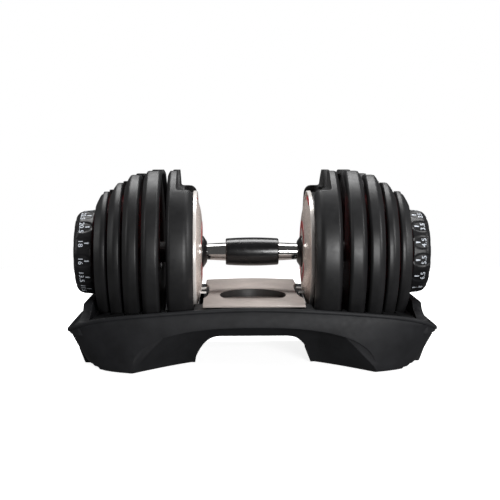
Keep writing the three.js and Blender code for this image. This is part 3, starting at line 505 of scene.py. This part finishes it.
def arc_strip(r0, r1, x, lift, start, stop):
    """A thin curved strip on the dome's face; lift is how much further out its outer edge lies."""
    bm = bmesh.new()
    steps = 28
    rings = []
    for k in range(steps + 1):
        angle = math.radians(start + (stop - start) * k / steps)
        c, s = math.cos(angle), math.sin(angle)
        ring = [(r0, x), (r1, x + lift), (r1, x + lift + 0.5), (r0, x + 0.5)]
        rings.append([bm.verts.new((px, r * c, AXLE_Z + r * s)) for r, px in ring])
    for here, there in zip(rings, rings[1:]):
        for i in range(4):
            j = (i + 1) % 4
            bm.faces.new((here[i], here[j], there[j], there[i]))
    bm.faces.new(rings[0])
    bm.faces.new(rings[-1][::-1])
    return mesh_from(bm, "arc")


marks = bmesh.new()
for r0, r1, x, lift, start, stop in [
    (62.5, 67.6, 63.8, 2.7, 86, 116), (28, 36, 58.42, 0.2, 200, 340), (28, 36, 58.42, 0.2, 20, 160),
]:
    marks.from_mesh(arc_strip(r0, r1, x, lift, start, stop))
both_ends("dome_marks", mesh_from(marks, "marks"), "red", "handle")

back_start = DOME_BACK + GAP
back_end = back_start + BACK_THICKNESS
back = lathe(fillet([
    (BACK_BORE, back_start, 0), (BACK_R, back_start, 0.4), (BACK_R, back_end, 0.8),
    (BACK_BORE, back_end, 0),
], 4), 160)
both_ends("back_plate", back, "black", "handle", "back_plate_{}")

# ------------------------------------------------------------------------------------------------
# Dials

def dial_radius(x, angle):
    """The dial's outer radius, with a shallow scoop pressed in round each number."""
    t = (x - DIAL_START) / (DIAL_END - DIAL_START)
    radius = DIAL_R - 1.0 * max(0, (t - 0.1)) / 0.6 if t < 0.7 else DIAL_R - 1.0
    if t > 0.62:
        radius -= 5.0 * ((t - 0.62) / 0.38) ** 2.3
    if t < 0.05:
        radius -= 0.5 * (1 - t / 0.05)
    pitch = math.radians(SETTING_DEGREES)
    off = (angle / pitch + 0.5) % 1 - 0.5
    width = 0.40 * math.sqrt(max(0.0, 1 - ((t - 0.52) / 0.56) ** 2))
    edge = max(0.0, min(1.0, (width - abs(off)) / 0.07))
    edge = edge * edge * (3 - 2 * edge)
    return radius - 0.9 * edge


def dial_mesh():
    bm = bmesh.new()
    around, along = 360, 22
    start = math.pi / 2
    outer = []
    for k in range(around):
        local = 2 * math.pi * k / around
        angle = start + local
        c, s = math.cos(angle), math.sin(angle)
        ring = [(ROD_BORE, DIAL_START), (20, DIAL_START)]
        for i in range(along + 1):
            x = DIAL_START + (DIAL_END - DIAL_START) * i / along
            ring.append((dial_radius(x, local), x))
        ring += [(RECESS_R + 1.2, DIAL_END), (RECESS_R + 0.3, DIAL_END - 0.4),
                 (RECESS_R, DIAL_END - 1.2), (RECESS_R, DIAL_START + DIAL_WALL),
                 (ROD_BORE, DIAL_START + DIAL_WALL)]
        outer.append([bm.verts.new((x, r * c, AXLE_Z + r * s)) for r, x in ring])
    count = len(outer[0])
    for k in range(around):
        here, there = outer[k], outer[(k + 1) % around]
        for i in range(count):
            j = (i + 1) % count
            bm.faces.new((here[i], here[j], there[j], there[i]))
    return mesh_from(bm, "dial")


both_ends("weight_dial", dial_mesh(), "dial", "{}_dial", "weight_dial_{}", 40)

cap_top = DIAL_END - CAP_INSET
cap = lathe(fillet([
    (NEAR_AXIS, cap_top - CAP_THICKNESS, 0), (RECESS_R - GAP, cap_top - CAP_THICKNESS, 0),
    (RECESS_R - GAP, cap_top, 0.8), (NEAR_AXIS, cap_top, 0),
], 4), 128)
bar_low, bar_high = AXLE_Z - FINGER_BAR_HALF_LENGTH, AXLE_Z + FINGER_BAR_HALF_LENGTH
finger_bar = fillet([
    (-FINGER_BAR_HALF_WIDTH, bar_low, 6.4), (FINGER_BAR_HALF_WIDTH, bar_low, 6.4),
    (FINGER_BAR_HALF_WIDTH, bar_high, 6.4), (-FINGER_BAR_HALF_WIDTH, bar_high, 6.4),
], 8)
cap = join(cap, prism(finger_bar, "x", cap_top - 1, DIAL_END))
both_ends("dial_cap", finished(cap, 0.8, 3), "black", "{}_dial", "dial_cap_{}")


def wrapped(mesh, angle):
    """Bends a flat print (x along the text, y up) round the dial, its top towards the plates."""
    bm = bmesh.new()
    bm.from_mesh(mesh)
    for v in bm.verts:
        x = DIAL_START + PRINT_CENTRE - v.co.y
        turn = angle + v.co.x / 48.0
        radius = dial_radius(x, turn - math.pi / 2) + 0.12 + v.co.z
        v.co = (x, -radius * math.cos(turn), AXLE_Z + radius * math.sin(turn))
    return mesh_from(bm, "print")


def number_mesh(text):
    curve = bpy.data.curves.new("digits", "FONT")
    curve.body = text
    curve.size = NUMBER_SIZE
    curve.align_x = "CENTER"
    curve.align_y = "CENTER"
    curve.space_character = 1.04
    curve.extrude = PRINT_RAISE
    curve.resolution_u = 4
    return applied(bpy.data.objects.new("digits", curve))


def tick_mesh():
    """The wedge-shaped mark beside each number."""
    bm = bmesh.new()
    corners = [(-0.45, 3.2), (0.45, 3.2), (1.05, 8.1), (0, 8.5), (-1.05, 8.1)]
    front = [bm.verts.new((x, y, PRINT_RAISE)) for x, y in corners]
    rear = [bm.verts.new((x, y, -PRINT_RAISE)) for x, y in corners]
    bm.faces.new(front)
    bm.faces.new(rear[::-1])
    for i in range(len(corners)):
        j = (i + 1) % len(corners)
        bm.faces.new((front[i], rear[i], rear[j], front[j]))
    return mesh_from(bm, "tick")


prints = bmesh.new()
for index, text in enumerate(SETTINGS):
    angle = math.radians(90 - SETTING_DEGREES * (index + 1))
    flat = number_mesh(text)
    for v in flat.vertices:
        v.co.x *= 1.14
        v.co.y -= 1.3
    for flat_mesh in (flat, tick_mesh()):
        prints.from_mesh(wrapped(flat_mesh, angle))
both_ends("dial_numbers", mesh_from(prints, "prints"), "white", "{}_dial")

# ------------------------------------------------------------------------------------------------
# Tray

# Places along a quarter of an outline, closer together where it turns.
SHARES = [0, 0.09, 0.18, 0.27, 0.36, 0.45, 0.53, 0.6, 0.67, 0.73, 0.79, 0.84, 0.88, 0.915, 0.945,
          0.968, 0.984, 0.994, 1]


def superellipse(half_x, half_y, power):
    """An outline between an ellipse (power 2) and a rectangle."""
    quarter = [(s * half_x, half_y * (1 - s ** power) ** (1 / power)) for s in SHARES]
    back_side = quarter[:0:-1] + [(-x, y) for x, y in quarter]
    return back_side + [(x, -y) for x, y in back_side[1:-1]][::-1]


def rim_height(x):
    """The rim is level in the middle and falls to the tips."""
    share = min(1, abs(x) / TRAY_HALF_X)
    return RIM_Z - (RIM_Z - TIP_Z) / 2 * (share ** RIM_SLOPE_POWER + share ** RIM_END_POWER)


def lofted(rings):
    """Rings of (x, y, z), each the same front and back, closed by strips at both ends."""
    bm = bmesh.new()
    made = [[bm.verts.new(p) for p in ring] for ring in rings]
    count = len(rings[0])
    for lower, upper in zip(made, made[1:]):
        for i in range(count):
            j = (i + 1) % count
            bm.faces.new((lower[i], lower[j], upper[j], upper[i]))
    for ring in (made[0], made[-1]):
        for i in range(count // 2):
            quad = []
            for k in (i, i + 1, (count - i - 1) % count, (count - i) % count):
                if ring[k] not in quad:
                    quad.append(ring[k])
            bm.faces.new(quad)
    return mesh_from(bm, "loft")


def ring_at(level, inset):
    """A ring of the tray's outer form. level 0 is the floor and 1 the rim; inset is inwards."""
    base = superellipse(TRAY_HALF_X - BASE_INSET, TRAY_HALF_Y + BASE_FLARE, BASE_SQUARENESS)
    rim = superellipse(TRAY_HALF_X, TRAY_HALF_Y, RIM_SQUARENESS)
    out = []
    for (bx, by), (rx, ry) in zip(base, rim):
        x, y = bx + (rx - bx) * level, by + (ry - by) * level
        length = math.hypot(x / TRAY_HALF_X, y / TRAY_HALF_Y)
        x -= inset * (x / TRAY_HALF_X) / length
        y -= inset * (y / TRAY_HALF_Y) / length
        out.append((x, y, TRAY_BOTTOM + (rim_height(rx) - TRAY_BOTTOM) * level))
    return out


def at_height(ring, dz):
    return [(x, y, z + dz) for x, y, z in ring]


def tray_form():
    """The tray's outer form: a rounded foot edge, bulging sides and a rolled lip at the rim."""
    rings = [ring_at(0.0, 3.0), at_height(ring_at(0.0, 1.0), 0.6), at_height(ring_at(0.0, 0.0), 2.4)]
    for level in (0.15, 0.3, 0.45, 0.6, 0.75, 0.86):
        bulge = 0.9 * math.sin(math.pi * level)
        rings.append(ring_at(level, level - bulge))
    lip = [(1.5, -5.2), (1.7, -4.7), (0.5, -4.3), (0.05, -3.2), (0.1, -1.6), (0.9, -0.4),
           (2.2, 0.0), (3.6, -0.5), (4.6, -1.6)]
    for inset, dz in lip:
        rings.append(at_height(ring_at(1.0, inset), dz))
    return lofted(rings)


def inner_form():
    """The hollow inside the tray's outer walls."""
    return lofted([at_height(ring_at(0.0, 3.0), -6), at_height(ring_at(1.0, 3.2), -3.5)])


def well(grow=0.0):
    """Where the plates sit, with ribs between them. Grown by the wall, it is the well's outside."""
    side, clear = WELL_SIDE, WELL_CLEARANCE
    order = [5, 4, 3, 2, 1]
    first = PLATES[5]["x"][0] - side
    if grow:
        drums = []
        for here, after in zip(order, order[1:] + [None]):
            low, high = PLATES[here]["x"]
            to = PLATES[after]["x"][0] if after else high + side + grow
            radius = PLATES[here]["r"] + clear + grow
            low -= side + grow
            outline = [(NEAR_AXIS, low), (radius, low), (radius, to), (NEAR_AXIS, to)]
            drums.append(lathe(outline, 120))
        return join(drums[0], *drums[1:])
    steps = [(WELL_START, first, BEZEL_R + clear)]
    for here, after in zip(order, order[1:] + [None]):
        low, high = PLATES[here]["x"]
        steps.append((low - side, high + side, PLATES[here]["r"] + clear))
        if after:
            rib_top = PLATES[after]["r"] - RIB_HEIGHT
            steps.append((high + side, PLATES[after]["x"][0] - side, rib_top))
    profile = [(NEAR_AXIS, WELL_START, 0)]
    for low, high, radius in steps:
        profile += [(radius, low, 0.0), (radius, high, 0.0)]
    profile.append((NEAR_AXIS, PLATES[1]["x"][1] + side, 0))
    return lathe(fillet(profile), 160)


def arch_outline(grow=0.0):
    """The archway under the bridge, seen from the front."""
    side = [(67 + grow, -10, 0), (66 + grow, 7.7, 6), (62 + grow, 18, 10),
            (55.5 + grow, 29.3 + grow / 2, 10), (48 + grow, 36.2 + grow, 8),
            (40, 38.5 + grow, 8)]
    outline = side + [(-x, z, r) for x, z, r in reversed(side)]
    return fillet(outline, 5)


def apron(grow=0.0):
    """The space in front of the apron, which is set back and leans in beside the archway."""
    arch = superellipse(APRON_HALF_WIDTH + grow, APRON_HEIGHT + grow, ARCH_SQUARENESS)
    front = -TRAY_HALF_Y - 30
    face = -TRAY_HALF_Y - BASE_FLARE
    side_x, steps = APRON_HALF_WIDTH + 4, 14
    half = []
    for k in range(steps + 1):
        share = k / steps
        x = side_x - 67 * share
        depth = 8 + 58 * (1.12 * share - 0.12 * share ** 3)
        half.append((x + grow, face + depth + (grow if k else 0)))
    plan = [(side_x + grow, front)] + half
    plan += [(-x, y) for x, y in plan[::-1]]
    leaning = prism(plan, "z", -10, 63)
    shear = Matrix.Identity(4)
    shear[1][2] = -APRON_LEAN
    leaning.transform(shear)
    step = box((-FAR, front, -10), (FAR, -TRAY_HALF_Y + APRON_STEP + grow, 100))
    return cross(prism(arch, "y", front, 0), join(leaning, step))


def end_wall():
    """The raised wall behind each dial, with sloping shoulders."""
    face, outer, top, low = 181.6, 191.6, 73.5, 41.5
    section = fillet([(face, low, 0), (204.6, low, 0), (204.6, 45.5, 1), (outer + 2, 54.5, 5),
                      (outer, 60, 4), (outer, top - 1, 4.5), (outer - 4, top, 3),
                      (face, top, 1.5)], 5)
    width = END_WALL_HALF_WIDTH
    half = [(width, low, 0), (width, top - 18, 4), (63, top - 12.5, 8), (53, top - 8.5, 6),
            (48.5, top - 2.0, 4), (43, top, 4)]
    outline = fillet(half + [(-y, z, r) for y, z, r in half[::-1]], 5)
    wall = cross(prism(section, "y", -width, width), prism(outline, "x", face - 1, 206))
    plan = superellipse(TRAY_HALF_X - 1.5, TRAY_HALF_Y - 1.5, RIM_SQUARENESS)
    return cross(wall, prism(plan, "z", 0, AXLE_Z))


def end_foot():
    """The foot that stands out below each end."""
    base = TRAY_HALF_X - BASE_INSET
    section = fillet([(base - 30, TRAY_BOTTOM, 0), (base + 5, TRAY_BOTTOM, 1.5), (base + 12, 20, 3),
                      (base + 10, 28, 3), (base - 30, 28, 0)], 4)
    return prism(section, "y", -END_FOOT_HALF_WIDTH, END_FOOT_HALF_WIDTH)


def upright_drum(x, y, radius, low, high, count):
    outline = [(x + radius * math.cos(2 * math.pi * k / count),
                y + radius * math.sin(2 * math.pi * k / count)) for k in range(count)]
    return prism(outline, "z", low, high)


def dish(grow):
    """The panel's round dish, level at the front and deepest at the back."""
    radius = DISH_R + grow
    drum = upright_drum(0, DISH_Y, radius, PANEL_TOP - 30, PANEL_TOP + 3, 96)
    near, far = DISH_Y - radius, DISH_Y + radius
    wedge = prism([(near, PANEL_TOP - grow), (far, PANEL_TOP - DISH_DEPTH - grow),
                   (far, PANEL_TOP + 4), (near, PANEL_TOP + 4)], "x", -radius, radius)
    return cross(drum, wedge)


feet = [(sx * 0.69 * TRAY_HALF_X, sy * 0.7 * TRAY_HALF_Y) for sx in (-1, 1) for sy in (-1, 1)]

wall = join(end_wall(), end_foot())
outer_form = join(tray_form(), wall, turned_round(wall))
right_well = well()
hollow_apron = apron()
tray = cut(
    outer_form,
    right_well, turned_round(right_well),
    box((-PANEL_X - GAP, -PANEL_Y - GAP, PANEL_TOP - PANEL_THICKNESS - GAP),
        (PANEL_X + GAP, PANEL_Y + GAP, 90)),
    box((-WELL_START - 1, -28, PRONG_LOW - GAP), (WELL_START + 1, 28, 90)),
    dish(CUP_WALL + GAP),
    prism(arch_outline(), "y", -FAR, FAR),
    hollow_apron, turned_round(hollow_apron),
)
right_walls = well(TRAY_WALL)
wide_apron = apron(TRAY_WALL)
underside = cut(
    inner_form(),
    right_walls, turned_round(right_walls),
    prism(arch_outline(TRAY_WALL), "y", -FAR, FAR),
    wide_apron, turned_round(wide_apron),
    box((-FAR, -FAR, PANEL_TOP - 10), (FAR, FAR, FAR)),
    *[upright_drum(x, y, FOOT_R, 3, 79, 32) for x, y in feet],
)
tray = cut(tray, underside, *[upright_drum(x, y, SCREW_HOLE_R, -1, 14, 24) for x, y in feet])
piece("tray_shell_fine", finished(tray, 0.9, 3, 38), "tray", "tray", ["tray_shell"],
      40)


def panel_mesh():
    """The panel: arched from side to side, waisted beside the domes and falling to the front."""
    shares = [k / 12 - 1 for k in range(25)]
    bottom = PANEL_TOP - PANEL_THICKNESS
    top = [(share * PANEL_X, PANEL_TOP + PANEL_ARCH * (1 - share * share)) for share in shares]
    section = [(-PANEL_X, bottom)] + top + [(PANEL_X, bottom)]
    waist = [(PANEL_X - PANEL_WAIST * (1 - share ** 4), share * PANEL_WAIST_HALF_LENGTH)
             for share in shares]
    side = [(PANEL_X, -PANEL_Y)] + waist + [(PANEL_X, PANEL_Y)]
    plan = side + [(-x, y) for x, y in reversed(side)]
    above = PANEL_TOP + PANEL_ARCH + 0.1
    ridge = [(share * PANEL_Y, above - PANEL_FALL * max(0, -share) ** 1.6) for share in shares]
    fall = [(-PANEL_Y, bottom)] + ridge + [(PANEL_Y, bottom)]
    slab = cross(prism(section, "y", -PANEL_Y, PANEL_Y), prism(plan, "z", 60, 90))
    slab = cross(slab, prism(fall, "x", -PANEL_X, PANEL_X))
    cup = cross(dish(CUP_WALL), box((-80, -FAR, 0), (80, FAR, PANEL_TOP - 1)))
    mesh = cut(join(slab, cup), dish(0))
    return finished(mesh, 0.7, 3)


panel = piece("bridge_panel_fine", panel_mesh(), "panel", "tray", ["bridge_panel"],
              30)
# The dish's upright wall gets a dark material: painted shade, standing in for the shadow that falls
# on the wall.
panel.data.materials.append(MAT["dish"])
for face in panel.data.polygons:
    x, y = face.center.x * 1000, face.center.y * 1000
    inside = math.hypot(x, y - DISH_Y) < DISH_R + 0.5 and y > DISH_Y - 10
    if inside and abs(face.normal.z) < 0.55 and face.center.z * 1000 > PANEL_TOP - 8:
        face.material_index = 1


def fork_mesh():
    half = PRONG_HALF_WIDTH
    reach = PRONG_Y + half
    bar = box((FORK_START, -reach, PANEL_TOP - PANEL_THICKNESS), (FORK_BAR_END, reach, PRONG_HIGH))
    prongs = [box((FORK_START, y - half, PRONG_LOW), (PRONG_END, y + half, PRONG_HIGH))
              for y in (-PRONG_Y, PRONG_Y)]
    return finished(join(bar, *prongs), 0.5, 2)


# Only the prongs are pale; the bar that joins them is black.
for fork in both_ends("unlock_fork", fork_mesh(), "fork", "tray", "unlock_fork_{}"):
    fork.data.materials.append(MAT["black"])
    for face in fork.data.polygons:
        face.material_index = 1 if abs(face.center.x) * 1000 < FORK_BAR_END + 0.2 else 0

# ------------------------------------------------------------------------------------------------
# CAD nodes that stay, with finished materials

for name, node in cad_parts.items():
    finish = None
    if name.startswith("selector_disc"):
        finish = "red"
    elif name.startswith(("selector_shaft", "tray_foot")):
        finish = "foot"
    elif name.startswith(("axle_rod", "lock_", "rod_nut", "foot_screw")):
        finish = "steel"
    if finish:
        node.data.materials.clear()
        node.data.materials.append(MAT[finish])

# ------------------------------------------------------------------------------------------------
# Floor, light and camera

floor_mesh = bpy.data.meshes.new("floor")
floor_mesh.from_pydata([(-0.9, -0.8, 0), (0.9, -0.8, 0), (0.9, 0.8, 0), (-0.9, 0.8, 0)], [],
                       [(0, 1, 2, 3)])
floor = bpy.data.objects.new("floor", floor_mesh)
bpy.context.scene.collection.objects.link(floor)
floor_mat, tree, bsdf = new_material("pale_floor", (0.93, 0.93, 0.93), 0.6, specular=0.15)
bsdf.inputs["Emission Color"].default_value = (1, 1, 1, 1)
bsdf.inputs["Emission Strength"].default_value = 0.86
floor_mesh.materials.append(floor_mat)
floor.visible_diffuse = False
floor.visible_glossy = False

world = bpy.data.worlds.new("studio")
bpy.context.scene.world = world
world.use_nodes = True
sky = world.node_tree
# The object is lit by little of the world, and the camera sees it white.
background = sky.nodes["Background"]
background.inputs["Color"].default_value = (1, 1, 1, 1)
background.inputs["Strength"].default_value = 0.1
backdrop = sky.nodes.new("ShaderNodeBackground")
backdrop.inputs["Color"].default_value = (1, 1, 1, 1)
backdrop.inputs["Strength"].default_value = 1.0
ray = sky.nodes.new("ShaderNodeLightPath")
chosen = sky.nodes.new("ShaderNodeMixShader")
sky.links.new(ray.outputs["Is Camera Ray"], chosen.inputs["Fac"])
sky.links.new(background.outputs["Background"], chosen.inputs[1])
sky.links.new(backdrop.outputs["Background"], chosen.inputs[2])
sky.links.new(chosen.outputs["Shader"], sky.nodes["World Output"].inputs["Surface"])


def area_light(name, place, target, size, power):
    """A soft box at a place, facing a target."""
    light = bpy.data.lights.new(name, "AREA")
    light.shape = "RECTANGLE"
    light.size, light.size_y = size
    light.energy = power
    obj = bpy.data.objects.new(name, light)
    obj.location = place
    obj.rotation_euler = (Vector(target) - Vector(place)).to_track_quat("-Z", "Y").to_euler()
    bpy.context.scene.collection.objects.link(obj)


area_light("overhead", (0, 0.3, 1.2), (0, 0, 0.1), (1.3, 0.5), 20)
area_light("left_box", (-1.2, -0.25, 0.55), (-0.1, 0, 0.14), (0.25, 0.7), 2.2)
area_light("right_box", (1.2, -0.5, 0.5), (0.1, 0, 0.14), (0.2, 0.6), 6)
area_light("front_box", (0.44, -1.5, 0.3), (0.05, 0, 0.12), (0.46, 0.4), 17)

centre = Vector((0, 0, AXLE_Z * 0.001))
azimuth, elevation, distance = math.radians(-1.6), math.radians(6.3), 1.1
away = Vector((math.sin(azimuth) * math.cos(elevation), -math.cos(azimuth) * math.cos(elevation),
               math.sin(elevation)))
camera_data = bpy.data.cameras.new("camera")
camera_data.sensor_width = 36
camera_data.lens = 67.1
camera_data.shift_x = -0.004
camera_data.shift_y = 0.003
camera_data.clip_start = 0.05
camera_data.clip_end = 60
camera = bpy.data.objects.new("camera", camera_data)
camera.location = centre + away * distance
camera.rotation_euler = (-away).to_track_quat("-Z", "Y").to_euler()
bpy.context.scene.collection.objects.link(camera)
bpy.context.scene.camera = camera
bpy.context.scene.view_settings.view_transform = "Standard"
